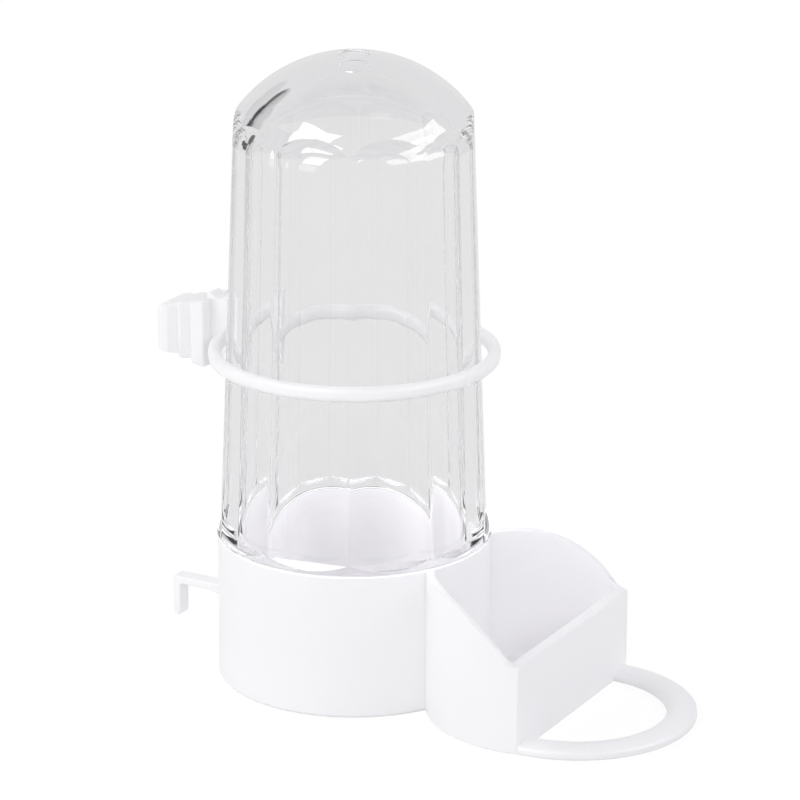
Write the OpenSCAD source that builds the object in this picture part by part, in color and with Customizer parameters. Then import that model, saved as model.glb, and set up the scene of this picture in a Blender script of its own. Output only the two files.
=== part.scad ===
// Gravity drinker for cage birds. A clear ten-sided reservoir stands mouth down in a white cup,
// water runs through a low window into the trough in front, and the bird sits on the loop.
// The origin is on the cup's axis, on the underside. The trough points towards -Y, the cage is at +Y.

/* [Base cup] */
// Outside diameter of the cup
cup_d = 55; // [46:0.5:70]
// Height of the cup's rim above the floor it stands on
cup_h = 29.7; // [24:0.1:40]
// Thickness of the cup's wall
cup_wall = 1.7; // [1.2:0.1:2.4]
// Thickness of the floor of the cup and of the trough
floor_t = 2; // [1.2:0.1:4]
// Rounding of the cup's lower outside edge
foot_round = 0.8; // [0.3:0.1:1.5]
// Rounding inside the cup, where its wall meets the floor
well_round = 2.5; // [1:0.1:4]
// Width of the window that lets water into the trough
window_w = 12; // [8:0.5:22]
// How far the window's top lies above the reservoir's mouth, to let air in
air_gap = 1.4; // [1:0.1:4]

/* [Drinking trough] */
// Outside diameter of the trough's rounded wall
trough_d = 50; // [42:0.5:60]
// How far the trough's round plan reaches into the cup's
trough_overlap = 7.8; // [5:0.1:12]
// Distance from the centre of the round plan to the flat front wall
front_cut = 5; // [2:0.1:12]
// Height of the front wall
front_h = 18; // [16:0.1:24]
// Thickness of the trough's side walls
trough_wall = 1.6; // [1:0.1:2.5]
// Thickness of the front wall, whose top is level
front_wall = 2.2; // [1.4:0.1:3]
// Radius of the curve that the side walls' top edge follows down to the front
lip_r = 30; // [26:0.1:90]

/* [Perch loop] */
// Width of the loop's bar, seen from above
perch_w = 6; // [4:0.1:9]
// Height of the loop's bar
perch_h = 2.3; // [2:0.1:5]
// Rounding of the bar's long edges
perch_round = 1.1; // [0.3:0.1:2]

/* [Cage hook] */
// Distance from the cup's wall to the outer face of the hook's tab
hook_reach = 14.6; // [10:0.1:20]
// Width of the hook
hook_w = 3.5; // [2.5:0.1:6]
// Thickness of the hook's bar and tab
hook_t = 1.6; // [1:0.1:2.4]
// Height of the bar's top above the floor
hook_top = 12.8; // [11:0.1:18]
// Length of the tab, from the bar's top to its tip
hook_drop = 8.2; // [6:0.1:10]
// Radius of the gusset under the bar
hook_gusset = 7; // [3:0.1:8]
// Radius of the small fillet on top of the bar
hook_fillet = 2; // [0.5:0.1:3]

/* [Reservoir] */
// Height of the reservoir above the cup's rim
reservoir_h = 98.5; // [80:0.1:130]
// Height of the reservoir's mouth above the cup's floor, which sets the water level
mouth_up = 6.1; // [4.6:0.1:14]
// Radial clearance of the spigot in the cup
spigot_clear = 0.3; // [0.1:0.05:0.6]
// Height of the collar that rests on the rim
collar_h = 2.3; // [2:0.1:5]
// How far the collar stands out past the cup
collar_over = 0.2; // [0:0.05:1]
// Rounding of the collar's lower edge
collar_round = 0.5; // [0.2:0.05:0.8]
// How far the ledge below a flat slopes down to the collar's outside
ledge_drop = 1.3; // [0.5:0.1:1.4]
// Number of flats around the body
flat_count = 10; // [8:1:12]
// How far the reservoir is turned in the cup, in degrees
flat_turn = 9; // [0:1:36]
// Width across the flats at the shoulder
shoulder_w = 46.6; // [40:0.1:52]
// How much of each corner is rounded away
corner_trim = 0.15; // [0.1:0.05:0.6]
// Height of the dome above the shoulder
dome_rise = 13.2; // [9:0.1:18]
// Rounding between the dome and the corners
shoulder_round = 9; // [2:0.1:12]
// Thickness of the wall behind a flat, at the collar
wall_foot = 3.1; // [2:0.1:4]
// Thickness of the wall behind a flat, at the shoulder
wall_top = 2; // [1.2:0.1:3.5]
// Thickness of the dome at its top
crown_wall = 4.3; // [3:0.1:5.5]
// Height of the hollow's own dome
crown_rise = 15.5; // [12:0.1:19]
// Diameter of the gate recess on top of the dome
gate_d = 6.5; // [4:0.1:10]
// Depth of the gate recess below the dome's top
gate_depth = 0.5; // [0.3:0.05:1]

/* [Holder ring] */
// Height of the ring's middle above the cup's rim
ring_up = 37.7; // [15:0.1:65]
// Radial clearance between the ring and the reservoir's corners
ring_clear = 0.3; // [0.2:0.05:1]
// Thickness of the ring's bar, outwards
ring_bar_w = 2.5; // [2:0.1:4]
// Height of the ring's bar
ring_bar_h = 3.1; // [2.8:0.1:6]

/* [Clip block] */
// Width of the block between the cage wires
clip_w = 10; // [8:0.1:14]
// Length of the block, away from the ring
clip_len = 10.9; // [9:0.1:15]
// Height of the block at the ring's end
clip_h_in = 14; // [11:0.1:18]
// Height of the block at its outer end
clip_h_out = 9.2; // [6:0.1:11]
// Depth of the upright grooves in the block's sides
groove_depth = 1.7; // [0.8:0.1:2.4]
// Distance from one groove to the next
groove_pitch = 3; // [2.4:0.1:3.6]
// Distance from the block's ring end to the middle of the first groove
groove_start = 4.1; // [2:0.1:5]
// Width of the flat land between two grooves
groove_land = 0.2; // [0.1:0.05:0.6]
// Length of the web between the ring and the block
web_len = 3; // [2:0.1:6]
// Width of the web
web_w = 4; // [2.5:0.1:6]
// Height of the web below its hollowed top edge
web_h = 13; // [9:0.1:16]
// How far the web's two top corners stand above the hollow between them
web_rise = 1.5; // [0.5:0.1:2.5]

/* [Hidden] */
$fn = 96;

// A little extra, so that a cut passes clean through a face
past = 1;
// The least straight stretch that is left between two rounded edges
least_flat = 0.1;

// Cup
cup_r = cup_d / 2;
cup_bore_r = cup_r - cup_wall;

// Trough. The two round plans cross at trough_join in front of the cup's axis.
trough_r = trough_d / 2;
trough_y = cup_r + trough_r - trough_overlap;
front_y = trough_y + front_cut;
front_half = sqrt(pow(trough_r, 2) - pow(front_cut, 2));
trough_join = (pow(cup_r, 2) - pow(trough_r, 2) + pow(trough_y, 2)) / (2 * trough_y);

// The lip's curve runs from the rim, where the plans cross, to the level top of the front wall
lip_start = [-trough_join, cup_h];
lip_end = [front_wall - front_y, front_h];
lip_chord = lip_end - lip_start;
lip_unit = lip_chord / norm(lip_chord);
lip_depth = sqrt(pow(lip_r, 2) - pow(norm(lip_chord) / 2, 2));
lip_centre = (lip_start + lip_end) / 2 + lip_depth * [-lip_unit[1], lip_unit[0]];

// Reservoir heights and radii, from the mouth up
mouth_z = floor_t + mouth_up;
spigot_len = cup_h - mouth_z;
foot_z = cup_h + collar_h;
top_z = cup_h + reservoir_h;
shoulder_z = top_z - dome_rise;
spigot_r = cup_bore_r - spigot_clear;
collar_r = cup_r + collar_over;
// The corners between the flats run straight out of the collar and lean in to the shoulder
half_flat_angle = 180 / flat_count;
skirt_point = [collar_r, cup_h + collar_round];
shoulder_flat = shoulder_w / 2;
shoulder_r = shoulder_flat / cos(half_flat_angle) - corner_trim;
corner_taper = atan((collar_r - shoulder_r) / (shoulder_z - skirt_point[1]));
// Radius of the corners at a height, and distance of a flat from the axis there
function corner_at(z) = collar_r - (z - skirt_point[1]) * tan(corner_taper);
function flat_at(z) = (corner_at(z) + corner_trim) * cos(half_flat_angle);
foot_flat = flat_at(foot_z);

// Dome: an arc through the shoulder's corners and the top, blended into the tapered corners
dome_r = (pow(shoulder_r, 2) + pow(dome_rise, 2)) / (2 * dome_rise);
dome_centre = [0, top_z - dome_r];
up_corner = [-sin(corner_taper), cos(corner_taper)];
into_wall = [-cos(corner_taper), -sin(corner_taper)];
blend_from = skirt_point + into_wall * shoulder_round - dome_centre;
blend_along = blend_from * up_corner;
blend_reach = dome_r - shoulder_round;
blend_step = -blend_along + sqrt(pow(blend_along, 2) - blend_from * blend_from + pow(blend_reach, 2));
blend_centre = dome_centre + blend_from + up_corner * blend_step;
blend_low = blend_centre - into_wall * shoulder_round;
blend_high = dome_centre + (blend_centre - dome_centre) * dome_r / blend_reach;

// Hollow: a tapered round bore under a domed end
bore_foot_r = foot_flat - wall_foot;
bore_top_r = shoulder_flat - wall_top;
bore_slope = (bore_foot_r - bore_top_r) / (shoulder_z - foot_z);
function bore_at(z) = bore_foot_r - (z - foot_z) * bore_slope;
crown_z = top_z - crown_wall;
spring_z = crown_z - crown_rise;
crown_r = (pow(bore_at(spring_z), 2) + pow(crown_rise, 2)) / (2 * crown_rise);

// Window: its top lies above the mouth, so that air can pass
window_top = mouth_z + air_gap;

// Ring and clip
ring_z = cup_h + ring_up;
ring_in_r = corner_at(ring_z - ring_bar_h / 2) + ring_clear;
ring_mid_r = ring_in_r + ring_bar_w / 2;
ring_out_r = ring_in_r + ring_bar_w;
clip_y = ring_out_r + web_len;
clip_end_y = clip_y + clip_len;
groove_half = (groove_pitch - groove_land) / 2;
groove_first = clip_y + groove_start;

module rounded_bar(w, h, r) {
    // Section of a bar, centred on the origin, with round long edges
    round_r = min(r, (w - least_flat) / 2, (h - least_flat) / 2);
    square([w - 2 * round_r, h], center = true);
    square([w, h - 2 * round_r], center = true);
    for (sx = [-1, 1]) {
        for (sy = [-1, 1]) {
            translate([sx * (w / 2 - round_r), sy * (h / 2 - round_r)])
                circle(r = round_r);
        }
    }
}

module along_x(width) {
    // Extrudes an outline drawn in Y and Z, centred on X = 0
    rotate([90, 0, 90])
        linear_extrude(height = width, center = true)
            children();
}

module cup_outside(z_low, z_high) {
    translate([0, 0, z_low])
        cylinder(r = cup_r, h = z_high - z_low);
}

module cup_section() {
    // Half section of the cup, with a rounded foot and a rounded well
    difference() {
        union() {
            translate([0, foot_round])
                square([cup_r, cup_h - foot_round]);
            square([cup_r - foot_round, foot_round + past]);
            translate([cup_r - foot_round, foot_round])
                circle(r = foot_round);
        }
        translate([0, floor_t + well_round])
            square([cup_bore_r, cup_h]);
        translate([0, floor_t])
            square([cup_bore_r - well_round, cup_h]);
        translate([cup_bore_r - well_round, floor_t + well_round])
            circle(r = well_round);
        translate([-cup_r, -past])
            square([cup_r, cup_h + 2 * past]);
    }
}

module base_cup() {
    color("white")
        difference() {
            rotate_extrude()
                cup_section();
            translate([-window_w / 2, -cup_r - past, floor_t])
                cube([window_w, cup_r + past, window_top - floor_t]);
        }
}

module trough_plan(inset, front_inset) {
    // Plan of the trough: a round wall cut flat at the front, drawn in by the two insets
    intersection() {
        translate([0, -trough_y])
            circle(r = trough_r - inset);
        translate([-trough_d, front_inset - front_y])
            square([2 * trough_d, 2 * trough_d]);
    }
}

module lip_outline() {
    // Side outline of the trough: the lip's curve, and the front wall below its level top
    translate(lip_centre)
        circle(r = lip_r, $fn = 240);
    translate([-front_y - past, -past])
        square([front_wall + 2 * past, front_h + past]);
}

module drinking_trough() {
    color("white")
        difference() {
            intersection() {
                difference() {
                    linear_extrude(height = cup_h)
                        trough_plan(0, 0);
                    translate([0, 0, floor_t])
                        linear_extrude(height = cup_h)
                            trough_plan(trough_wall, front_wall);
                }
                along_x(2 * trough_d)
                    lip_outline();
            }
            cup_outside(-past, cup_h + past);
        }
}

module perch_loop() {
    color("white")
        intersection() {
            translate([0, -front_y, perch_h / 2])
                rotate_extrude()
                    translate([front_half - perch_w / 2, 0])
                        rounded_bar(perch_w, perch_h, perch_round);
            translate([-trough_d, -front_y - trough_d, -past])
                cube([2 * trough_d, trough_d, perch_h + 2 * past]);
        }
}

module hook_outline() {
    tab_y = cup_r + hook_reach - hook_t;
    tip_z = hook_top - hook_drop;
    under_z = hook_top - hook_t;
    // Bar, rooted inside the cup's wall
    translate([0, under_z])
        square([cup_r + hook_reach, hook_t]);
    // Tab with a round tip
    translate([tab_y, tip_z + hook_t / 2])
        square([hook_t, hook_drop - hook_t / 2]);
    translate([tab_y + hook_t / 2, tip_z + hook_t / 2])
        circle(d = hook_t);
    // Gusset below the bar and small fillet above it
    difference() {
        translate([0, under_z - hook_gusset])
            square([cup_r + hook_gusset, hook_gusset]);
        translate([cup_r + hook_gusset, under_z - hook_gusset])
            circle(r = hook_gusset);
    }
    difference() {
        translate([0, hook_top])
            square([cup_r + hook_fillet, hook_fillet]);
        translate([cup_r + hook_fillet, hook_top + hook_fillet])
            circle(r = hook_fillet);
    }
}

module cage_hook() {
    color("white")
        difference() {
            along_x(hook_w)
                hook_outline();
            cup_outside(-past, cup_h + past);
        }
}

module reservoir_section() {
    // Half section of the round blank: spigot, collar, tapered body and dome
    translate([0, mouth_z])
        square([spigot_r, spigot_len + past]);
    translate([collar_r - collar_round, cup_h + collar_round])
        circle(r = collar_round);
    polygon([[0, cup_h], [collar_r - collar_round, cup_h], skirt_point,
             blend_low, blend_centre, dome_centre]);
    translate(blend_centre)
        circle(r = shoulder_round);
    intersection() {
        translate(dome_centre)
            circle(r = dome_r);
        polygon([dome_centre, blend_high, [blend_high[0], top_z + past], [0, top_z + past]]);
    }
}

module hollow_section() {
    // Half section of the hollow, from below the mouth to the inside of the dome
    low_z = mouth_z - past;
    polygon([[0, low_z], [bore_at(low_z), low_z], [bore_at(spring_z), spring_z], [0, spring_z]]);
    intersection() {
        translate([0, crown_z - crown_r])
            circle(r = crown_r);
        translate([0, spring_z - past / 10])
            square([crown_r, crown_rise + past]);
    }
}

module flat_cut() {
    // What one flat takes off the round blank, from the collar's sloping ledge to over the dome
    high_z = top_z + past;
    slope = ledge_drop / (collar_r - foot_flat);
    outside = collar_r + past;
    rotate([90, 0, 0])
        linear_extrude(height = 2 * collar_r, center = true)
            polygon([[foot_flat, foot_z], [outside, foot_z - slope * (outside - foot_flat)],
                     [outside, high_z], [flat_at(high_z), high_z]]);
}

module reservoir() {
    color("lavender", 0.35)
        difference() {
            rotate_extrude()
                intersection() {
                    reservoir_section();
                    square([2 * collar_r, top_z + past]);
                }
            for (i = [0 : flat_count - 1]) {
                rotate([0, 0, flat_turn + i * 360 / flat_count])
                    flat_cut();
            }
            rotate_extrude()
                hollow_section();
            translate([0, 0, top_z - gate_depth])
                cylinder(d = gate_d, h = gate_depth + past);
        }
}

module ring_solid() {
    translate([0, 0, ring_z])
        rotate_extrude()
            translate([ring_mid_r, 0])
                rounded_bar(ring_bar_w, ring_bar_h, ring_bar_w / 2);
}

module holder_ring() {
    color("white")
        ring_solid();
}

module clip_outline() {
    // Side outline of the block, lower at the outer end
    polygon([[clip_y, ring_z - clip_h_in / 2], [clip_end_y, ring_z - clip_h_out / 2],
             [clip_end_y, ring_z + clip_h_out / 2], [clip_y, ring_z + clip_h_in / 2]]);
}

module web_outline() {
    // Upright web that joins the block to the ring, hollowed a little along its top
    difference() {
        translate([ring_mid_r, ring_z - web_h / 2])
            square([clip_y - ring_mid_r + past / 10, web_h + web_rise]);
        translate([(ring_mid_r + clip_y) / 2, ring_z + web_h / 2 + web_rise + web_len])
            circle(r = web_len + web_rise / 2);
    }
}

module clip_grooves() {
    // Two upright grooves in each side, where the cage wires snap in
    outside = clip_w / 2 + past;
    half_outside = groove_half * (1 + past / groove_depth);
    for (side = [-1, 1]) {
        for (i = [0, 1]) {
            groove_y = groove_first + i * groove_pitch;
            translate([0, 0, ring_z - clip_h_in])
                linear_extrude(height = 2 * clip_h_in)
                    polygon([[side * (clip_w / 2 - groove_depth), groove_y],
                             [side * outside, groove_y - half_outside],
                             [side * outside, groove_y + half_outside]]);
        }
    }
}

module clip_block() {
    color("white")
        difference() {
            union() {
                difference() {
                    along_x(clip_w)
                        clip_outline();
                    clip_grooves();
                }
                along_x(web_w)
                    web_outline();
            }
            ring_solid();
        }
}

reservoir();
base_cup();
drinking_trough();
perch_loop();
cage_hook();
holder_ring();
clip_block();
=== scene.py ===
# %% [markdown]
# # A clear cage drinker, dressed in Blender
#
# The object is a gravity drinker for cage birds. A clear ten-sided reservoir stands mouth down in a
# white cup, water runs through a low window into a trough, and the bird sits on a loop in front.
# A hook on the cup and a grooved block on a ring hold the drinker on the cage.
#
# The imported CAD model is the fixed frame: it says where every piece is and how large it is. This
# lesson models each piece again with soft edges, gives it a finish, and lets it ride on its CAD body.

# %% Load the frame
import math

import bmesh
import bpy
from mathutils import Euler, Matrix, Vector


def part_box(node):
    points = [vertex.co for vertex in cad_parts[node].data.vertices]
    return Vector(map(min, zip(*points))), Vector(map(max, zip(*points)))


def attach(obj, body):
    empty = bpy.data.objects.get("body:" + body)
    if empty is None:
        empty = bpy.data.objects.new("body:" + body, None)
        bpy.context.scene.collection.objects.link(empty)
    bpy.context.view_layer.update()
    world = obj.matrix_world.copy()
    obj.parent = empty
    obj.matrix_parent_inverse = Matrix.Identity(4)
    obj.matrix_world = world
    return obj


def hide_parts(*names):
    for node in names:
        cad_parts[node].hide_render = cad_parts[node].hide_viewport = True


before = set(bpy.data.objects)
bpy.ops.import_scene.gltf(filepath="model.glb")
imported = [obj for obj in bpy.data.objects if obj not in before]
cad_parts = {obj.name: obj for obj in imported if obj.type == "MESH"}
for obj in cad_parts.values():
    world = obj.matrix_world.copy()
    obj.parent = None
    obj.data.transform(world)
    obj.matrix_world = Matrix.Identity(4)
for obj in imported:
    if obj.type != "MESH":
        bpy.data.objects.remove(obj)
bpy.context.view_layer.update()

# %% [markdown]
# Blender works in metres here, and this object is the size of a hand, so sizes are easier to read as
# millimetres times MM. What the frame knows is read from the boxes of its nodes: no piece can then
# drift away from the CAD part that it stands for.

# %% Sizes from the frame
MM = 0.001

_, cup_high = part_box("base_cup")
cup_r = cup_high.x
cup_h = cup_high.z

trough_low, trough_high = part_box("drinking_trough")
trough_r = trough_high.x
front_y = trough_low.y

tube_low, tube_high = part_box("reservoir")
collar_r = tube_high.x
mouth_z = tube_low.z

ring_low, ring_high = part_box("holder_ring")
ring_out_r = ring_high.x
ring_z = (ring_low.z + ring_high.z) / 2
ring_bar_h = ring_high.z - ring_low.z

clip_low, clip_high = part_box("clip_block")
print(f"cup {2 * cup_r / MM:.1f} mm wide")
print(f"reservoir from {mouth_z / MM:.1f} to {tube_high.z / MM:.1f} mm")

# %% [markdown]
# Operators act on whatever is selected, and loading the frame leaves its nodes selected. So every
# piece starts from `fresh_start`. Most pieces begin as an outline: one vertex is extruded from corner
# to corner, as a pen would draw it, and round corners are stretches of arc between the straight ones.

# %% Drawing helpers
MERGE = 0.002 * MM


def fresh_start():
    """Leave edit mode and deselect everything, so that an operator only meets the new piece."""
    if bpy.context.object and bpy.context.object.mode != "OBJECT":
        bpy.ops.object.mode_set(mode="OBJECT")
    bpy.ops.object.select_all(action="DESELECT")


def arc(centre, radius, start, end, steps):
    """Points of an arc in a flat outline, from one angle to another, in degrees."""
    turns = [math.radians(start + (end - start) * i / steps) for i in range(steps + 1)]
    return [(centre[0] + radius * math.cos(t), centre[1] + radius * math.sin(t)) for t in turns]


def draw_outline(name, points, closed):
    """A new object in edit mode, whose edges follow the points."""
    fresh_start()
    bpy.ops.mesh.primitive_plane_add(size=MM)
    piece = bpy.context.object
    piece.name = name
    bpy.ops.object.mode_set(mode="EDIT")
    bpy.ops.mesh.merge(type="CENTER")
    bpy.ops.transform.translate(value=Vector(points[0]))
    path = points + points[:1] if closed else points
    for here, there in zip(path, path[1:]):
        step = Vector(there) - Vector(here)
        bpy.ops.mesh.extrude_vertices_move(TRANSFORM_OT_translate={"value": step})
    bpy.ops.mesh.select_all(action="SELECT")
    bpy.ops.mesh.remove_doubles(threshold=MERGE)
    return piece


def close_surface():
    """Merge the doubles of the mesh in edit mode and turn its faces outwards."""
    bpy.ops.mesh.select_all(action="SELECT")
    bpy.ops.mesh.remove_doubles(threshold=MERGE)
    bpy.ops.mesh.normals_make_consistent(inside=False)
    bpy.ops.object.mode_set(mode="OBJECT")


def turned(name, profile, steps, start=0.0):
    """A closed body of revolution about Z, from a half section drawn as (radius, height) points."""
    a = math.radians(start)
    points = [(r * math.cos(a), r * math.sin(a), z) for r, z in profile]
    piece = draw_outline(name, points, closed=profile[0][0] > 0)
    bpy.ops.mesh.spin(steps=steps, angle=2 * math.pi, center=(0, 0, 0), axis=(0, 0, 1))
    close_surface()
    return piece


print("drawing helpers ready")

# %% [markdown]
# Moulded plastic has no truly sharp edge, and the thin highlight on a rounded one is what makes it look
# real. A Bevel could round the edges, but here they are built: the outline is drawn, filled and extruded
# again and again, and each time the new loop of points goes to its own place on the section. Small steps
# inwards then make a round edge that keeps clean, even faces. `filleted` gives such an outline with
# round corners, moved inwards by any amount, and `plate` makes a flat piece with soft edges from it.

# %% Skinning helpers
def skinned(name, loops):
    """A closed body whose skin runs from loop to loop. The first and the last one are filled."""
    piece = draw_outline(name, loops[0], closed=True)
    bpy.ops.mesh.edge_face_add()
    for before, after in zip(loops, loops[1:]):
        bpy.ops.mesh.extrude_region_move(TRANSFORM_OT_translate={"value": (0, 0, 0)})
        mesh = bmesh.from_edit_mesh(piece.data)
        corners = list(next(face for face in mesh.faces if face.select).verts)
        first = min(range(len(corners)), key=lambda i: (corners[i].co - Vector(before[0])).length)
        corners = corners[first:] + corners[:first]
        if (corners[-1].co - Vector(before[1])).length < (corners[1].co - Vector(before[1])).length:
            corners[1:] = reversed(corners[1:])
        for corner, place in zip(corners, after):
            corner.co = place
        bmesh.update_edit_mesh(piece.data)
    close_surface()
    return piece


def filleted(corners, inset, steps=6):
    """A flat outline with round corners, moved inwards. Corners run anticlockwise as (x, y, radius)."""
    points = []
    spots = [Vector(corner[:2]) for corner in corners]
    for i, here in enumerate(spots):
        come = (here - spots[i - 1]).normalized()
        go = (spots[(i + 1) % len(spots)] - here).normalized()
        inwards = (come.orthogonal() + go.orthogonal()) / (1 + come.dot(go))
        hand = 1 if come.cross(go) > 0 else -1
        radius = corners[i][2] - hand * inset
        start = math.degrees(math.atan2(*(-hand * come.orthogonal()).yx))
        turn = math.degrees(math.atan2(come.cross(go), come.dot(go)))
        points += arc(here + inwards * hand * corners[i][2], radius, start, start + turn, steps)
    return points


def soft_edge(rounding, steps=4):
    """Steps of a rounded edge, from the side to the face, as pairs of inset and drop."""
    turns = [math.pi / 2 * i / steps for i in range(steps + 1)]
    return [(rounding * (1 - math.cos(t)), rounding * (1 - math.sin(t))) for t in turns]


def plate(name, corners, rounding, place):
    """A flat piece with soft edges. place(x, y, side, drop) says where a point of its outline lies."""
    edge = soft_edge(rounding)
    steps = [(-1, *step) for step in reversed(edge)] + [(1, *step) for step in edge]
    loops = []
    for side, inset, drop in steps:
        loops.append([place(*spot, side, drop) for spot in filleted(corners, inset)])
    return skinned(name, loops)


print("skinning helpers ready")

# %% [markdown]
# Pieces are then cut and joined with modifiers that are applied at once: a Boolean takes one solid out
# of another, or adds it. `dress` finishes a piece. It shades it smooth up to an angle, leans the normals
# on the large faces so that these look flat, gives it its material, and puts it on its CAD body.

# %% Cutting and finishing helpers
def pick(piece):
    """Select one piece alone and make it the active one."""
    fresh_start()
    bpy.context.view_layer.objects.active = piece
    piece.select_set(True)


def apply_modifier(piece, kind, **settings):
    """Add one modifier to the piece, set it and apply it."""
    pick(piece)
    modifier = piece.modifiers.new(kind.lower(), kind)
    for key, value in settings.items():
        setattr(modifier, key, value)
    bpy.ops.object.modifier_apply(modifier=modifier.name)


def cut(piece, cutter, operation="DIFFERENCE"):
    """Cut the piece with a closed solid, or add it. The solid is then thrown away."""
    apply_modifier(piece, "BOOLEAN", object=cutter, operation=operation, solver="MANIFOLD")
    bpy.data.objects.remove(cutter)


def dress(piece, node, body, material, smooth=30):
    """Shade a finished piece, give it its finish, and let it stand for its CAD node."""
    pick(piece)
    bpy.ops.object.transform_apply(location=True, rotation=True, scale=True)
    bpy.ops.object.mode_set(mode="EDIT")
    close_surface()
    bpy.ops.object.shade_smooth_by_angle(angle=math.radians(smooth))
    apply_modifier(piece, "WEIGHTED_NORMAL", keep_sharp=True)
    piece.data.materials.clear()
    piece.data.materials.append(material)
    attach(piece, body)
    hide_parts(node)
    print(f"{piece.name}: {len(piece.data.polygons)} faces, rides on {body}")


print("finishing helpers ready")

# %% [markdown]
# The camera stands to the left of the trough and looks down at about twenty degrees, from far away
# with a long lens, so upright edges stay almost parallel. Its place was found by matching the outline
# of the cup, the dome, the ring and the trough, and it is given as a designer would say it: direction,
# distance, height and the point that it looks at.

# %% Camera
view_azimuth = -60.767
view_distance = 756.76 * MM
view_height = 303.82 * MM
view_roll = 0.2
aim_point = Vector((7.8, -6.1, 56.0)) * MM
lens_mm = 179.47
sensor_mm = 36
nearest, farthest = 0.05, 20

camera = bpy.data.objects.new("camera", bpy.data.cameras.new("camera"))
bpy.context.scene.collection.objects.link(camera)
turn = math.radians(view_azimuth)
camera.location = (math.sin(turn) * view_distance, -math.cos(turn) * view_distance, view_height)
looking = (aim_point - camera.location).to_track_quat("-Z", "Y")
rolled = Euler((0, 0, math.radians(view_roll))).to_quaternion()
camera.rotation_euler = (looking @ rolled).to_euler()
camera.data.lens = lens_mm
camera.data.sensor_width = sensor_mm
camera.data.clip_start = nearest
camera.data.clip_end = farthest
bpy.context.scene.camera = camera
print("camera at", [round(c, 3) for c in camera.location])

# %% [markdown]
# Finishes, the room and the lamps are all node trees. A few small helpers keep them short: each makes
# one node, feeds it with numbers or with the outputs of others, and returns its own output. The first
# one turns a direction, said as azimuth and elevation, into a vector.

# %% Room helpers
scene = bpy.context.scene
scene.view_settings.view_transform = "Standard"
scene.cycles.max_bounces = 32
scene.cycles.diffuse_bounces = 10
scene.cycles.glossy_bounces = 24
scene.cycles.transmission_bounces = 24

world = bpy.data.worlds.new("studio")
scene.world = world
world.use_nodes = True
tree = world.node_tree
tree.nodes.clear()


def towards(azimuth, elevation):
    """Unit vector of a direction. Azimuth 0 is in front of the trough, and it grows to the right."""
    a, e = math.radians(azimuth), math.radians(elevation)
    return Vector((math.sin(a) * math.cos(e), -math.cos(a) * math.cos(e), math.sin(e)))


def feed(tree, socket, value):
    """Link a socket to another one, or give it a plain value."""
    if isinstance(value, bpy.types.NodeSocket):
        tree.links.new(value, socket)
    else:
        socket.default_value = value


def ramp(tree, stops, source):
    """A colour ramp with the given (place, colour) stops, fed by a socket."""
    node = tree.nodes.new("ShaderNodeValToRGB")
    while len(node.color_ramp.elements) < len(stops):
        node.color_ramp.elements.new(0.5)
    for element, (place, colour) in zip(node.color_ramp.elements, stops):
        element.position = place
        element.color = (*colour, 1)
    tree.links.new(source, node.inputs["Fac"])
    return node.outputs["Color"]


def maths(tree, operation, first, second, third=None):
    """A Math node of two or three sockets or numbers."""
    node = tree.nodes.new("ShaderNodeMath")
    node.operation = operation
    for socket, value in zip(node.inputs, (first, second, third)):
        if value is not None:
            feed(tree, socket, value)
    return node.outputs["Value"]


def mixed(tree, factor, first, second):
    """A Mix Shader of two shader outputs."""
    node = tree.nodes.new("ShaderNodeMixShader")
    tree.links.new(factor, node.inputs["Fac"])
    tree.links.new(first, node.inputs[1])
    tree.links.new(second, node.inputs[2])
    return node.outputs["Shader"]


def room(colour, strength=1.0):
    """A Background node. The colour is a socket, or four numbers."""
    node = tree.nodes.new("ShaderNodeBackground")
    node.inputs["Strength"].default_value = strength
    feed(tree, node.inputs["Color"], colour)
    return node.outputs["Background"]


print("room helpers ready")

# %% [markdown]
# The studio is a white floor, a pale room and soft boxes in front. The room is painted in the world
# shader by the direction of a ray, and it is painted twice. Rays that light the white parts, also
# through the clear plastic, meet a bright band at window height under a dim ceiling, which keeps tops a
# little darker than sides. Rays that show the room, in a reflection or through the clear plastic, meet
# an even pale grey with a few small dark screens behind on the right: clear plastic needs something
# dark to show its edges. A camera ray that passes the object meets plain white.
#
# The Light Path node tells these rays apart. It counts bounces, so a count is compared with a half.

# %% World
shade = (0.257, 0.254, 0.262)
window = (0.98, 0.97, 1.0)
eaves = (0.07, 0.069, 0.071)
ceiling = (0.06, 0.06, 0.06)
lit_strength = 2.0
pale_grey = (0.74, 0.74, 0.75)
dim_grey = (0.55, 0.55, 0.56)
backdrop_white = (1, 1, 1, 1)
screen_black = (0.01, 0.01, 0.012, 1)
screen_soft = 1.5
screens = [(153, 27, 6), (157, 20, 5), (164, 25, 6), (168, 15, 7)]
one_bounce = 0.5

direction = tree.nodes.new("ShaderNodeTexCoord").outputs["Generated"]
split = tree.nodes.new("ShaderNodeSeparateXYZ")
tree.links.new(direction, split.inputs["Vector"])
height = maths(tree, "MULTIPLY_ADD", split.outputs["Z"], 0.5, 0.5)
band = [(0.65, shade), (0.72, window), (0.84, window), (0.89, eaves)]
lit_room = ramp(tree, [(0.0, shade), *band, (1.0, ceiling)], height)
shown_room = ramp(tree, [(0.0, pale_grey), (0.8, pale_grey), (1.0, dim_grey)], height)


def dark_screen(azimuth, elevation, reach):
    """How much a round dark screen, set by three angles, covers a direction. Its edge is soft."""
    facing = tree.nodes.new("ShaderNodeVectorMath")
    facing.operation = "DOT_PRODUCT"
    tree.links.new(direction, facing.inputs[0])
    facing.inputs[1].default_value = towards(azimuth, elevation)
    cover = tree.nodes.new("ShaderNodeMapRange")
    cover.interpolation_type = "SMOOTHSTEP"
    cover.inputs["From Min"].default_value = math.cos(math.radians(reach + screen_soft))
    cover.inputs["From Max"].default_value = math.cos(math.radians(reach - screen_soft))
    tree.links.new(facing.outputs["Value"], cover.inputs["Value"])
    return cover.outputs["Result"]


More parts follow.
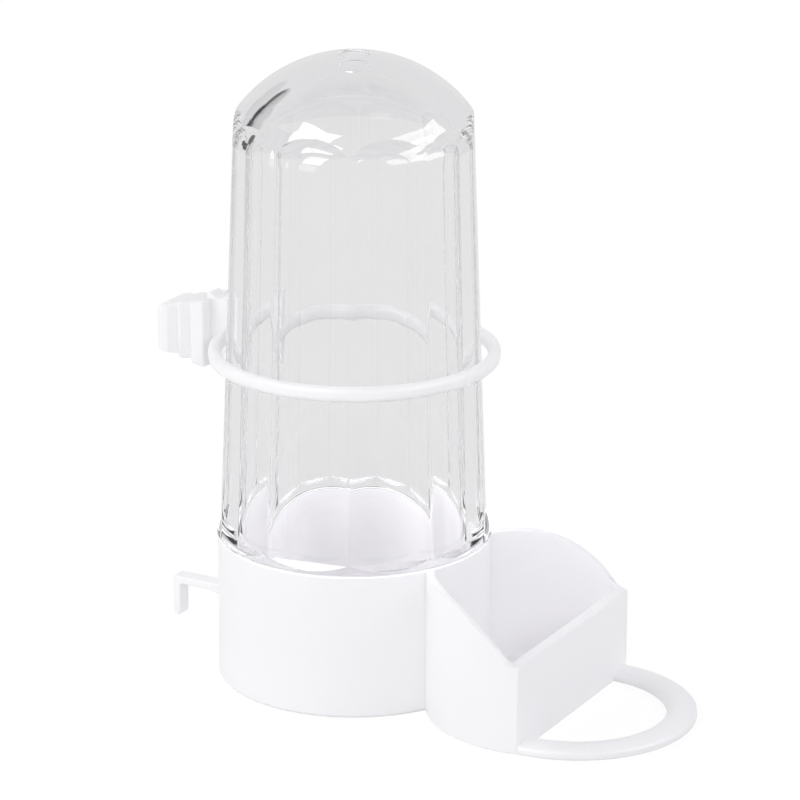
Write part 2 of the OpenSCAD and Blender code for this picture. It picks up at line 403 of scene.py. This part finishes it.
screen = dark_screen(*screens[0])
for where in screens[1:]:
    screen = maths(tree, "MAXIMUM", screen, dark_screen(*where))
path = tree.nodes.new("ShaderNodeLightPath").outputs
shows = maths(tree, "MAXIMUM", path["Is Transmission Ray"], path["Is Glossy Ray"])
straight = maths(tree, "LESS_THAN", path["Diffuse Depth"], one_bounce)
shows = maths(tree, "MULTIPLY", shows, straight)
shown = mixed(tree, screen, room(shown_room), room(screen_black))
kind = mixed(tree, shows, room(lit_room, lit_strength), shown)
kind = mixed(tree, path["Is Camera Ray"], kind, room(backdrop_white))
world_out = tree.nodes.new("ShaderNodeOutputWorld")
tree.links.new(kind, world_out.inputs["Surface"])
print("world painted with", len(tree.nodes), "nodes")

# %% [markdown]
# The floor has to look as white as the backdrop and still keep the object's shadow. For a ray that
# shows it, most of its white is its own and a small part is lit, so a shadow stays faint. For a ray
# that carries light on, it is an ordinary pale floor that brightens the object's underside.

# %% Floor
floor_reach = 3.0
floor_sides = 64
floor_drop = 0.05 * MM
floor_glow = 0.88
floor_glow_through = 0.66
floor_lit = 0.14
floor_pale = 0.8

fresh_start()
bpy.ops.mesh.primitive_circle_add(
    vertices=floor_sides, radius=floor_reach, fill_type="NGON", location=(0, 0, -floor_drop)
)
floor = bpy.context.object
floor.name = "floor"
floor_white = bpy.data.materials.new("floor_white")
floor_white.use_nodes = True
tree = floor_white.node_tree
tree.nodes.clear()
path = tree.nodes.new("ShaderNodeLightPath").outputs
glow = tree.nodes.new("ShaderNodeEmission")
glow_gain = floor_glow - floor_glow_through
own_white = maths(tree, "MULTIPLY_ADD", path["Is Camera Ray"], glow_gain, floor_glow_through)
tree.links.new(own_white, glow.inputs["Strength"])
faint = tree.nodes.new("ShaderNodeBsdfDiffuse")
faint.inputs["Color"].default_value = (floor_lit, floor_lit, floor_lit, 1)
shown = tree.nodes.new("ShaderNodeAddShader")
tree.links.new(glow.outputs["Emission"], shown.inputs[0])
tree.links.new(faint.outputs["BSDF"], shown.inputs[1])
plain = tree.nodes.new("ShaderNodeBsdfDiffuse")
plain.inputs["Color"].default_value = (floor_pale, floor_pale, floor_pale, 1)
shows = maths(tree, "MAXIMUM", path["Is Camera Ray"], path["Is Transmission Ray"])
shows = maths(tree, "MAXIMUM", shows, path["Is Glossy Ray"])
floor_mix = mixed(tree, shows, plain.outputs["BSDF"], shown.outputs["Shader"])
floor_out = tree.nodes.new("ShaderNodeOutputMaterial")
tree.links.new(floor_mix, floor_out.inputs["Surface"])
floor.data.materials.append(floor_white)
print("floor laid")

# %% [markdown]
# Three soft boxes. The low one on the left only lights: it makes faces that look left whiter than the
# trough's front and leaves the trough's inside in a soft shade. The other two stand high on the left
# and on the right and only shine: they are the bright patches on the shoulder of the clear reservoir
# and the gleam on the white edges. A clear pot would mirror them again and again in its walls, so they
# show in the first few mirrorings only. What they add to the white inside of the cup, through the clear
# foot, is a cool fill with a strength of its own.

# %% Lights
box_away = 1.2
box_tint = (1.0, 1.0, 0.965)
shine_depth = 5.5
fill_tint = (1.0, 0.972, 1.072)


def limit_shine(lamp, fill_share):
    """Show a box in the first mirrorings only, and fill what is white behind the clear plastic."""
    lamp.use_nodes = True
    tree = lamp.node_tree
    path = tree.nodes.new("ShaderNodeLightPath").outputs
    shine = tree.nodes["Emission"]
    early = maths(tree, "LESS_THAN", path["Ray Depth"], shine_depth)
    tree.links.new(early, shine.inputs["Strength"])
    fill = tree.nodes.new("ShaderNodeEmission")
    fill.inputs["Color"].default_value = (*fill_tint, 1)
    fill.inputs["Strength"].default_value = fill_share
    behind = maths(tree, "GREATER_THAN", path["Diffuse Depth"], one_bounce)
    both = mixed(tree, behind, shine.outputs["Emission"], fill.outputs["Emission"])
    tree.links.new(both, tree.nodes["Light Output"].inputs["Surface"])


def soft_box(name, azimuth, elevation, width, height, watts, lights, fill_share=0.0):
    """An area light that faces the object. It either lights surfaces or shows in reflections."""
    light = bpy.data.objects.new(name, bpy.data.lights.new(name, "AREA"))
    scene.collection.objects.link(light)
    away = towards(azimuth, elevation)
    light.location = aim_point + away * box_away
    light.rotation_euler = away.to_track_quat("Z", "Y").to_euler()
    light.data.shape = "RECTANGLE"
    light.data.size = width
    light.data.size_y = height
    light.data.energy = watts
    light.data.color = box_tint
    light.visible_camera = False
    light.visible_diffuse = lights
    light.visible_glossy = not lights
    if not lights:
        limit_shine(light.data, fill_share)


soft_box("low_box", -115, 10, width=0.7, height=0.5, watts=1.92, lights=True)
soft_box("left_box", -110, 44, width=0.75, height=0.8, watts=10.4, lights=False, fill_share=0.8)
soft_box("right_box", 11, 38, width=1.25, height=0.5, watts=7.6, lights=False, fill_share=1.25)
print("lights set")

# %% [markdown]
# The white parts are injection moulded. Their skin is not a flat colour: it is very slightly uneven
# in tone, its gloss changes a little from place to place, and a fine ripple breaks up reflections.
# Several finishes need this, so it is one node group, placed in each material with its own values.

# %% Moulded skin group
noise_low, noise_high = 0.3, 0.7


def add_socket(group, name, kind, direction, value=None):
    """A named input or output of a node group."""
    socket = group.interface.new_socket(name=name, in_out=direction, socket_type=kind)
    if value is not None:
        socket.default_value = value


def noise(tree, vector, scale, detail):
    """A noise texture whose scale is in waves per metre."""
    node = tree.nodes.new("ShaderNodeTexNoise")
    node.inputs["Detail"].default_value = detail
    tree.links.new(vector, node.inputs["Vector"])
    tree.links.new(scale, node.inputs["Scale"])
    return node.outputs["Fac"]


def ranged(tree, value, low, high):
    """Map the middle of a noise to a range given by numbers or sockets."""
    node = tree.nodes.new("ShaderNodeMapRange")
    node.inputs["From Min"].default_value = noise_low
    node.inputs["From Max"].default_value = noise_high
    tree.links.new(value, node.inputs["Value"])
    feed(tree, node.inputs["To Min"], low)
    feed(tree, node.inputs["To Max"], high)
    return node.outputs["Result"]


skin = bpy.data.node_groups.new("moulded_skin", "ShaderNodeTree")
add_socket(skin, "Vector", "NodeSocketVector", "INPUT")
add_socket(skin, "Cloud Scale", "NodeSocketFloat", "INPUT", 60.0)
add_socket(skin, "Ripple Scale", "NodeSocketFloat", "INPUT", 500.0)
add_socket(skin, "Dark Tone", "NodeSocketColor", "INPUT")
add_socket(skin, "Pale Tone", "NodeSocketColor", "INPUT")
add_socket(skin, "Least Roughness", "NodeSocketFloat", "INPUT", 0.25)
add_socket(skin, "Most Roughness", "NodeSocketFloat", "INPUT", 0.35)
add_socket(skin, "Tone", "NodeSocketColor", "OUTPUT")
add_socket(skin, "Roughness", "NodeSocketFloat", "OUTPUT")
add_socket(skin, "Height", "NodeSocketFloat", "OUTPUT")
given = skin.nodes.new("NodeGroupInput").outputs
taken = skin.nodes.new("NodeGroupOutput").inputs
cloud = noise(skin, given["Vector"], given["Cloud Scale"], 3)
ripple = noise(skin, given["Vector"], given["Ripple Scale"], 2)
tone = skin.nodes.new("ShaderNodeMix")
tone.data_type = "RGBA"
skin.links.new(ranged(skin, cloud, 0.0, 1.0), tone.inputs["Factor"])
skin.links.new(given["Dark Tone"], tone.inputs["A"])
skin.links.new(given["Pale Tone"], tone.inputs["B"])
skin.links.new(tone.outputs["Result"], taken["Tone"])
gloss = ranged(skin, ripple, given["Least Roughness"], given["Most Roughness"])
skin.links.new(gloss, taken["Roughness"])
skin.links.new(ripple, taken["Height"])
print("moulded skin group has", len(skin.nodes), "nodes")

# %% [markdown]
# White plastic: a pale, slightly cool white with a satin gloss. The group gives tone, roughness and
# ripple, and the shader's own sockets hold what is the same all over. The ring and the clip are milkier
# than the base: more light spreads inside them before it comes out.

# %% White plastic
ripple_depth = 0.02 * MM
light_reach = 2.0 * MM
milky_tint = (1.0, 0.97, 0.97)
dark_white = (0.945, 0.943, 0.95)
pale_white = (0.958, 0.957, 0.961)
white_ior = 1.49


def with_skin(material, cloud_scale, ripple_scale, dark, pale, least, most, bump):
    """Place the moulded skin in a material and return its Principled shader."""
    material.use_nodes = True
    tree = material.node_tree
    shader = tree.nodes["Principled BSDF"]
    place = tree.nodes.new("ShaderNodeTexCoord").outputs["Object"]
    effect = tree.nodes.new("ShaderNodeGroup")
    effect.node_tree = skin
    tree.links.new(place, effect.inputs["Vector"])
    effect.inputs["Cloud Scale"].default_value = cloud_scale
    effect.inputs["Ripple Scale"].default_value = ripple_scale
    effect.inputs["Dark Tone"].default_value = (*dark, 1)
    effect.inputs["Pale Tone"].default_value = (*pale, 1)
    effect.inputs["Least Roughness"].default_value = least
    effect.inputs["Most Roughness"].default_value = most
    relief = tree.nodes.new("ShaderNodeBump")
    relief.inputs["Strength"].default_value = bump
    relief.inputs["Distance"].default_value = ripple_depth
    tree.links.new(effect.outputs["Height"], relief.inputs["Height"])
    tree.links.new(effect.outputs["Tone"], shader.inputs["Base Color"])
    tree.links.new(effect.outputs["Roughness"], shader.inputs["Roughness"])
    tree.links.new(relief.outputs["Normal"], shader.inputs["Normal"])
    return shader


def white_plastic(name, milkiness):
    """A satin white for a moulded part, a little milky: light spreads in it before it comes out."""
    material = bpy.data.materials.new(name)
    shader = with_skin(
        material, cloud_scale=45, ripple_scale=420, dark=dark_white, pale=pale_white,
        least=0.3, most=0.42, bump=0.25,
    )
    shader.inputs["IOR"].default_value = white_ior
    shader.inputs["Subsurface Weight"].default_value = milkiness
    shader.inputs["Subsurface Radius"].default_value = milky_tint
    shader.inputs["Subsurface Scale"].default_value = light_reach
    return material


white_base = white_plastic("white_base", milkiness=0.1)
white_holder = white_plastic("white_holder", milkiness=0.5)
print("white plastics mixed")

# %% [markdown]
# Clear plastic: it bends light strongly and is polished all over. Light that only passes on its way to
# the white parts is let through straight, by mixing in a transparent shader for shadow rays, because a
# clear pot hardly darkens what it holds. Above the foot the same goes for the light that the ring and
# the clip throw back, and the tall body takes a little more of it than the foot does.

# %% Clear plastic
clear_ior = 1.57
clear_dark = (0.99, 0.99, 0.993)
clear_pale = (0.997, 0.997, 0.998)
foot_clear = 0.99
body_clear = 0.955
body_from = 2 * cup_h

clear_reservoir = bpy.data.materials.new("clear_reservoir")
shader = with_skin(
    clear_reservoir, cloud_scale=30, ripple_scale=90, dark=clear_dark, pale=clear_pale,
    least=0.002, most=0.01, bump=0.01,
)
shader.inputs["Transmission Weight"].default_value = 1.0
shader.inputs["IOR"].default_value = clear_ior
tree = clear_reservoir.node_tree
passing = tree.nodes.new("ShaderNodeBsdfTransparent")
path = tree.nodes.new("ShaderNodeLightPath").outputs
split = tree.nodes.new("ShaderNodeSeparateXYZ")
tree.links.new(tree.nodes["Texture Coordinate"].outputs["Object"], split.inputs["Vector"])
body = maths(tree, "GREATER_THAN", split.outputs["Z"], body_from)
clearness = maths(tree, "MULTIPLY_ADD", body, body_clear - foot_clear, foot_clear)
tree.links.new(clearness, passing.inputs["Color"])
lit_across = maths(tree, "MULTIPLY", path["Is Diffuse Ray"], body)
straight = maths(tree, "MAXIMUM", path["Is Shadow Ray"], lit_across)
clear_mix = mixed(tree, straight, shader.outputs["BSDF"], passing.outputs["BSDF"])
tree.links.new(clear_mix, tree.nodes["Material Output"].inputs["Surface"])
print("clear plastic mixed")

# %% [markdown]
# The cup is a plain turned form: a flat underside, a rounded foot, an upright wall and a rounded well
# inside. Half of its section is drawn once and spun about the axis. A low window in its front wall,
# hidden behind the trough, lets the water out, and a box cuts it.

# %% Base cup
cup_wall = 1.7 * MM
floor_t = 2.0 * MM
foot_round = 0.8 * MM
well_round = 2.5 * MM
rim_round = 0.3 * MM
window_w = 12 * MM
air_gap = 1.4 * MM
turn_steps = 160

cup_bore_r = cup_r - cup_wall
half_section = [(0, 0)]
half_section += arc((cup_r - foot_round, foot_round), foot_round, -90, 0, 6)
half_section += arc((cup_r - rim_round, cup_h - rim_round), rim_round, 0, 90, 4)
half_section += arc((cup_bore_r + rim_round, cup_h - rim_round), rim_round, 90, 180, 4)
half_section += arc((cup_bore_r - well_round, floor_t + well_round), well_round, 0, -90, 8)
half_section += [(0, floor_t)]
base_cup = turned("cup", half_section, turn_steps)

window_h = mouth_z + air_gap - floor_t
fresh_start()
window_middle = (0, -cup_r, floor_t + window_h / 2)
bpy.ops.mesh.primitive_cube_add(
    size=1, location=window_middle, scale=(window_w, 4 * cup_wall, window_h)
)
cut(base_cup, bpy.context.object)
dress(base_cup, "base_cup", "base", white_base)

# %% [markdown]
# The trough is a round pot cut flat at the front, with a top edge that sweeps down from the cup's rim
# to the front wall. Cutting it from a cylinder would leave ragged edges to round, so it is skinned: the
# loops start on the underside, climb the outside, cross the rim at the height that the sweep gives,
# and go down to the floor inside. The cup's own round is then taken out at the back, where the trough
# ends a little inside the cup's wall: the two read as one moulding.

# %% Drinking trough
trough_wall = 1.6 * MM
front_wall = 2.2 * MM
front_cut = 5.0 * MM
front_h = 18.0 * MM
lip_r = 30.0 * MM
rooted = 0.5 * MM
trough_round = 0.3 * MM
basin_round = 1.2 * MM
kink_round = 0.8 * MM
outer_corner = 0.45 * MM
inner_corner = 1.3 * MM
round_steps = 192

trough_y = front_y + front_cut
join_y = (cup_r**2 - trough_r**2 + trough_y**2) / (2 * trough_y)
lip_start = Vector((join_y, cup_h))
lip_end = Vector((front_y + front_wall, front_h))
lip_way = lip_end - lip_start
lip_side = Vector((-lip_way.y, lip_way.x)).normalized()
lip_rise = math.sqrt(lip_r**2 - lip_way.length_squared / 4)
lip_middle = (lip_start + lip_end) / 2 + lip_side * lip_rise


def lip_at(y):
    """Height of the rim: level in front, a round sweep, and level with the cup's rim behind."""
    bend = lip_end.x + kink_round
    if y > join_y:
        return cup_h
    if y > bend:
        return lip_middle.y + math.sqrt(lip_r**2 - (y - lip_middle.x) ** 2)
    share = max(0, (y - lip_end.x + kink_round) / (2 * kink_round))
    return front_h + (lip_at(bend + MERGE) - front_h) * share**2


def trough_loop(inset, front_inset, corner, height):
    """Points round the trough, inset from its outside, each at the height that belongs to its y."""
    low = front_y + front_inset + corner
    reach = trough_r - inset - corner
    side_x = math.sqrt(reach**2 - (trough_y - low) ** 2)
    side = math.degrees(math.atan2(low - trough_y, side_x))
    points = arc((0, trough_y), trough_r - inset, side, 180 - side, round_steps)
    points += arc((-side_x, low), corner, 180 - side, 270, 6)[1:]
    points += arc((side_x, low), corner, 270, 360 + side, 6)[:-1]
    return [(x, y, height(y)) for x, y in points]


loops = []
for inset, drop in reversed(soft_edge(trough_round)):
    loops.append(trough_loop(inset, inset, outer_corner - inset, lambda y: drop))
for inset, drop in soft_edge(trough_round):
    loops.append(trough_loop(inset, inset, outer_corner - inset, lambda y: lip_at(y) - drop))
for inset, drop in reversed(soft_edge(trough_round)):
    side, front = trough_wall - inset, front_wall - inset
    loops.append(trough_loop(side, front, inner_corner + inset, lambda y: lip_at(y) - drop))
for inset, rise in soft_edge(basin_round):
    side, front = trough_wall + inset, front_wall + inset
    loops.append(trough_loop(side, front, inner_corner - inset, lambda y: floor_t + rise))
trough = skinned("trough", loops)

fresh_start()
bpy.ops.mesh.primitive_cylinder_add(
    vertices=round_steps, radius=cup_r - rooted, depth=4 * cup_h, location=(0, 0, cup_h)
)
cut(trough, bpy.context.object)
dress(trough, "drinking_trough", "base", white_base)

# %% [markdown]
# The perch is half a ring at floor level. Its section is a low bar with a flat underside and a domed
# top, which is kind to a bird's toes and gives the bar its soft change from light to shade. Spinning a
# filled section through half a turn leaves both ends closed, and they are pushed a little way into the
# trough's front wall.

# %% Perch loop
_, perch_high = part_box("perch_loop")
perch_w = 6.0 * MM
perch_h = perch_high.z
perch_edge = 1.0 * MM
perch_round = 0.4 * MM
perch_steps = 96

perch_r = perch_high.x - perch_w / 2
perch_out = perch_w / 2 - perch_round
domed = arc((0, 0), 1, 0, 180, 20)
section = []
for x, z in domed:
    section.append((perch_r + x * perch_w / 2, perch_edge + z * (perch_h - perch_edge)))
section += arc((perch_r - perch_out, perch_round), perch_round, 180, 270, 4)
section += arc((perch_r + perch_out, perch_round), perch_round, 270, 360, 4)
perch = draw_outline("perch", [(x, front_y, z) for x, z in section], closed=True)
bpy.ops.mesh.edge_face_add()
bpy.ops.mesh.spin(steps=perch_steps, angle=math.pi, center=(0, front_y, 0), axis=(0, 0, 1))
mesh = bmesh.from_edit_mesh(perch.data)
for face in mesh.faces:
    face.select_set(False)
for face in mesh.faces:
    face.select_set(all(abs(corner.co.y - front_y) < MERGE for corner in face.verts))
bmesh.update_edit_mesh(perch.data)
bpy.ops.mesh.extrude_region_move(TRANSFORM_OT_translate={"value": (0, rooted, 0)})
close_surface()
dress(perch, "perch_loop", "base", white_base, smooth=50)

# %% [markdown]
# The hook at the back is a small bar with a tab that hangs down behind a cage wire. Seen from the side
# it is one outline with a rounded gusset below and a small fillet above, made into a plate of its width.

# %% Cage hook
hook_low, hook_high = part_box("cage_hook")
hook_w = hook_high.x - hook_low.x
hook_t = 1.6 * MM
hook_top = 12.8 * MM
hook_gusset = 7 * MM
hook_fillet = 2 * MM
hook_round = 0.3 * MM
hook_corner = 1.1 * hook_round
heel_corner = 1.3 * hook_round
in_skin = 0.1 * MM
in_wall = 1.3 * MM

tab_in = hook_high.y - hook_t
under = hook_top - hook_t
skin_y = cup_r - in_skin
root = cup_r - in_wall
low_end = under - hook_gusset - rooted
high_end = hook_top + hook_fillet + rooted
tip_r = 0.49 * hook_t
side = [(root, low_end, hook_corner), (skin_y, low_end, hook_corner), (skin_y, under, hook_gusset)]
side += [(tab_in, under, hook_round), (tab_in, hook_low.z, tip_r), (hook_high.y, hook_low.z, tip_r)]
side += [(hook_high.y, hook_top, heel_corner), (skin_y, hook_top, hook_fillet)]
side += [(skin_y, high_end, hook_corner), (root, high_end, hook_corner)]
hook = plate("hook", side, hook_round, lambda y, z, way, drop: (way * (hook_w / 2 - drop), y, z))
dress(hook, "cage_hook", "base", white_base)

# %% [markdown]
# The reservoir is the piece to look at. Its blank is turned: spigot, collar, a body that leans in,
# a domed end with a rounded shoulder, a small gate recess on top, and inside a smooth tapered bore
# that blends into a dome of its own. Ten flats are then cut into the blank from the collar upwards.
# Where a flat runs out into the dome it leaves an arch by itself, and at the collar it ends in a
# sloping ledge.

# %% Reservoir blank
flat_count = 10
flat_turn = 9
spigot_clear = 0.3 * MM
collar_h = 2.3 * MM
collar_round = 0.5 * MM
ledge_drop = 1.3 * MM
shoulder_w = 46.6 * MM
corner_trim = 0.15 * MM
dome_rise = 13.2 * MM
shoulder_round = 9 * MM
reservoir_h = 98.5 * MM
wall_foot = 3.1 * MM
wall_top = 2.0 * MM
crown_wall = 4.3 * MM
crown_rise = 12 * MM
crown_round = 9 * MM
gate_r = 3.25 * MM
gate_depth = 0.5 * MM
mouth_round = 0.4 * MM
steps_per_flat = 18

top_z = cup_h + reservoir_h
foot_z = cup_h + collar_h
shoulder_z = top_z - dome_rise
half_turn = math.pi / flat_count
skirt = Vector((collar_r, cup_h + collar_round))
shoulder_r = shoulder_w / 2 / math.cos(half_turn) - corner_trim
lean = math.atan((collar_r - shoulder_r) / (shoulder_z - skirt.y))


def flat_at(z):
    """Distance of a flat from the axis at a height."""
    corner = collar_r - (z - skirt.y) * math.tan(lean) + corner_trim
    return corner * math.cos(half_turn)


def blend(spot, lean, middle, radius, rounding):
    """Centre and upper angle of the arc that runs from a leaning wall through a spot into a dome."""
    up_wall = Vector((-math.sin(lean), math.cos(lean)))
    into_wall = Vector((-math.cos(lean), -math.sin(lean)))
    start = spot + into_wall * rounding - middle
    along = start.dot(up_wall)
    rise = -along + math.sqrt(along**2 - start.length_squared + (radius - rounding) ** 2)
    centre = middle + start + up_wall * rise
    return centre, math.degrees(math.atan2(centre.y - middle.y, centre.x))


dome_r = (shoulder_r**2 + dome_rise**2) / (2 * dome_rise)
dome_middle = Vector((0, top_z - dome_r))
blend_middle, blend_top = blend(skirt, lean, dome_middle, dome_r, shoulder_round)
gate_edge = math.degrees(math.acos(gate_r / dome_r))

bore_foot = flat_at(foot_z) - wall_foot
bore_slope = (bore_foot - (shoulder_w / 2 - wall_top)) / (shoulder_z - foot_z)


def bore_at(z):
    """Radius of the hollow at a height."""
    return bore_foot - (z - foot_z) * bore_slope


crown_z = top_z - crown_wall
spring_z = crown_z - crown_rise
crown_r = (bore_at(spring_z) ** 2 + crown_rise**2) / (2 * crown_rise)
crown_middle = Vector((0, crown_z - crown_r))
bore_lean = math.atan(bore_slope)
spring = Vector((bore_at(spring_z), spring_z))
crown_blend, crown_turn = blend(spring, bore_lean, crown_middle, crown_r, crown_round)
spigot_r = cup_r - cup_wall - spigot_clear

blank = [(0, top_z - gate_depth), (gate_r, top_z - gate_depth)]
blank += arc(dome_middle, dome_r, gate_edge, blend_top, 18)
blank += arc(blend_middle, shoulder_round, blend_top, math.degrees(lean), 14)[1:]
blank += arc((collar_r - collar_round, skirt.y), collar_round, 0, -90, 5)
blank += [(spigot_r, cup_h)]
blank += arc((spigot_r - mouth_round, mouth_z + mouth_round), mouth_round, 0, -90, 4)
blank += arc((bore_at(mouth_z) + mouth_round, mouth_z + mouth_round), mouth_round, -90, -180, 4)
blank += arc(crown_blend, crown_round, math.degrees(bore_lean), crown_turn, 14)
blank += arc(crown_middle, crown_r, crown_turn, 90, 24)[1:-1]
blank += [(0, crown_z)]
corner_azimuth = flat_turn + 180 / flat_count
reservoir = turned("reservoir_clear", blank, steps_per_flat * flat_count, start=corner_azimuth)
print(f"blank: dome radius {dome_r / MM:.1f} mm, lean {math.degrees(lean):.2f} degrees")

# %% [markdown]
# One cutter is made from a cube: its inner face leans as the flat does and its underside slopes for
# the ledge. It is turned from flat to flat, and each time the Boolean takes its bite. The corners
# between the flats are shaded softly, and the arches and ledges stay crisp.

# %% Reservoir flats
cutter_depth = 8 * MM
cutter_half = 12 * MM
cutter_top = top_z + MM
ledge_slope = ledge_drop / (collar_r - flat_at(foot_z))
soft_corner = 19

for i in range(flat_count):
    fresh_start()
    bpy.ops.mesh.primitive_cube_add(size=1)
    cutter = bpy.context.object
    for corner in cutter.data.vertices:
        outside, above = corner.co.x > 0, corner.co.z > 0
        z = cutter_top if above else foot_z
        x = flat_at(z)
        if outside:
            x += cutter_depth
            z -= 0 if above else ledge_slope * cutter_depth
        corner.co = (x, math.copysign(cutter_half, corner.co.y), z)
    cutter.rotation_euler.z = math.radians(flat_turn + i * 360 / flat_count)
    bpy.context.view_layer.update()
    cut(reservoir, cutter)
dress(reservoir, "reservoir", "reservoir", clear_reservoir, smooth=soft_corner)

# %% [markdown]
# The ring slips over the reservoir and stops where the taper grips it. Its bar is almost round, so
# the section is a bar whose corners are rounded nearly to its full width.

# %% Holder ring
ring_bar_w = 2.5 * MM
ring_round = 0.49 * ring_bar_w
ring_steps = 160


def bar_section(middle, width, height, rounding, steps):
    """Outline of a bar's section with round corners, as flat points."""
    points = []
    for corner, (sx, sy) in enumerate(((1, 1), (-1, 1), (-1, -1), (1, -1))):
        x = middle[0] + sx * (width / 2 - rounding)
        y = middle[1] + sy * (height / 2 - rounding)
        points += arc((x, y), rounding, 90 * corner, 90 * corner + 90, steps)
    return points


ring_mid_r = ring_out_r - ring_bar_w / 2
section = bar_section((ring_mid_r, ring_z), ring_bar_w, ring_bar_h, ring_round, 6)
ring = turned("ring", section, ring_steps)
dress(ring, "holder_ring", "holder", white_holder, smooth=50)

# %% [markdown]
# The clip block has two upright V grooves in each side, where the cage wires snap in, and gets lower
# towards its outer end. Its plan is drawn with the grooves in it, and the plate made from it gets a
# sloping top and bottom. The web that ties it to the ring is a thin plate with a hollowed top, and it
# is joined to the block by a Boolean, so that no seam shows between them.

# %% Clip block
clip_len = 10.9 * MM
clip_h_in = 14 * MM
clip_h_out = 9.2 * MM
groove_depth = 1.7 * MM
groove_pitch = 3 * MM
groove_start = 4.1 * MM
groove_land = 0.2 * MM
web_w = 4 * MM
web_h = 13 * MM
web_rise = 1.5 * MM
clip_round = 0.3 * MM
tip_round = 1.1 * clip_round
end_round = 1.5 * clip_round

clip_w = clip_high.x - clip_low.x
clip_end = clip_high.y
clip_start = clip_end - clip_len
groove_half = (groove_pitch - groove_land) / 2
edge = clip_w / 2
tip = edge + groove_land / 2 * groove_depth / groove_half
grooves = [clip_start + groove_start + i * groove_pitch for i in range(2)]
plan = [(edge, clip_start, end_round), (edge, grooves[0] - groove_half, tip_round)]
plan += [(edge - groove_depth, grooves[0], groove_land), (tip, sum(grooves) / 2, tip_round)]
plan += [(edge - groove_depth, grooves[1], groove_land), (edge, grooves[1] + groove_half, tip_round)]
plan += [(edge, clip_end, end_round)]
plan += [(-x, y, radius) for x, y, radius in reversed(plan)]
fall = (clip_h_in - clip_h_out) / 2 / clip_len


def clip_point(x, y, way, drop):
    """A point of the block's outline on its sloping top or bottom."""
    return (x, y, ring_z + way * (clip_h_in / 2 - fall * (y - clip_start) - drop))


clip = plate("clip", plan, clip_round, clip_point)

web_len = clip_start - ring_out_r
web_foot = ring_z - web_h / 2
web_top = ring_z + web_h / 2 + web_rise
web_end = clip_start + 2 * rooted
hollow_middle = ((ring_mid_r + clip_start) / 2, web_top + web_len)
hollow_r = web_len + web_rise / 2
hollow_high = -math.degrees(math.asin(web_len / hollow_r))
hollow_low = -90 - math.degrees(math.asin((hollow_middle[0] - ring_mid_r) / hollow_r))
hollow_ends = arc(hollow_middle, hollow_r, hollow_high, hollow_low, 1)
deep = hollow_r / math.cos(math.radians(hollow_high - hollow_low) / 2)
hollow_deep = arc(hollow_middle, deep, hollow_high, hollow_low, 2)[1]
hollow_round = 0.7 * hollow_r
side = [(ring_mid_r, web_foot), (web_end, web_foot), (web_end, web_top), hollow_ends[0]]
side = [(*corner, tip_round) for corner in side]
side += [(*hollow_deep, hollow_round), (*hollow_ends[1], tip_round)]
web = plate("web", side, clip_round, lambda y, z, way, drop: (way * (web_w / 2 - drop), y, z))
cut(clip, web, operation="UNION")
dress(clip, "clip_block", "holder", white_holder)
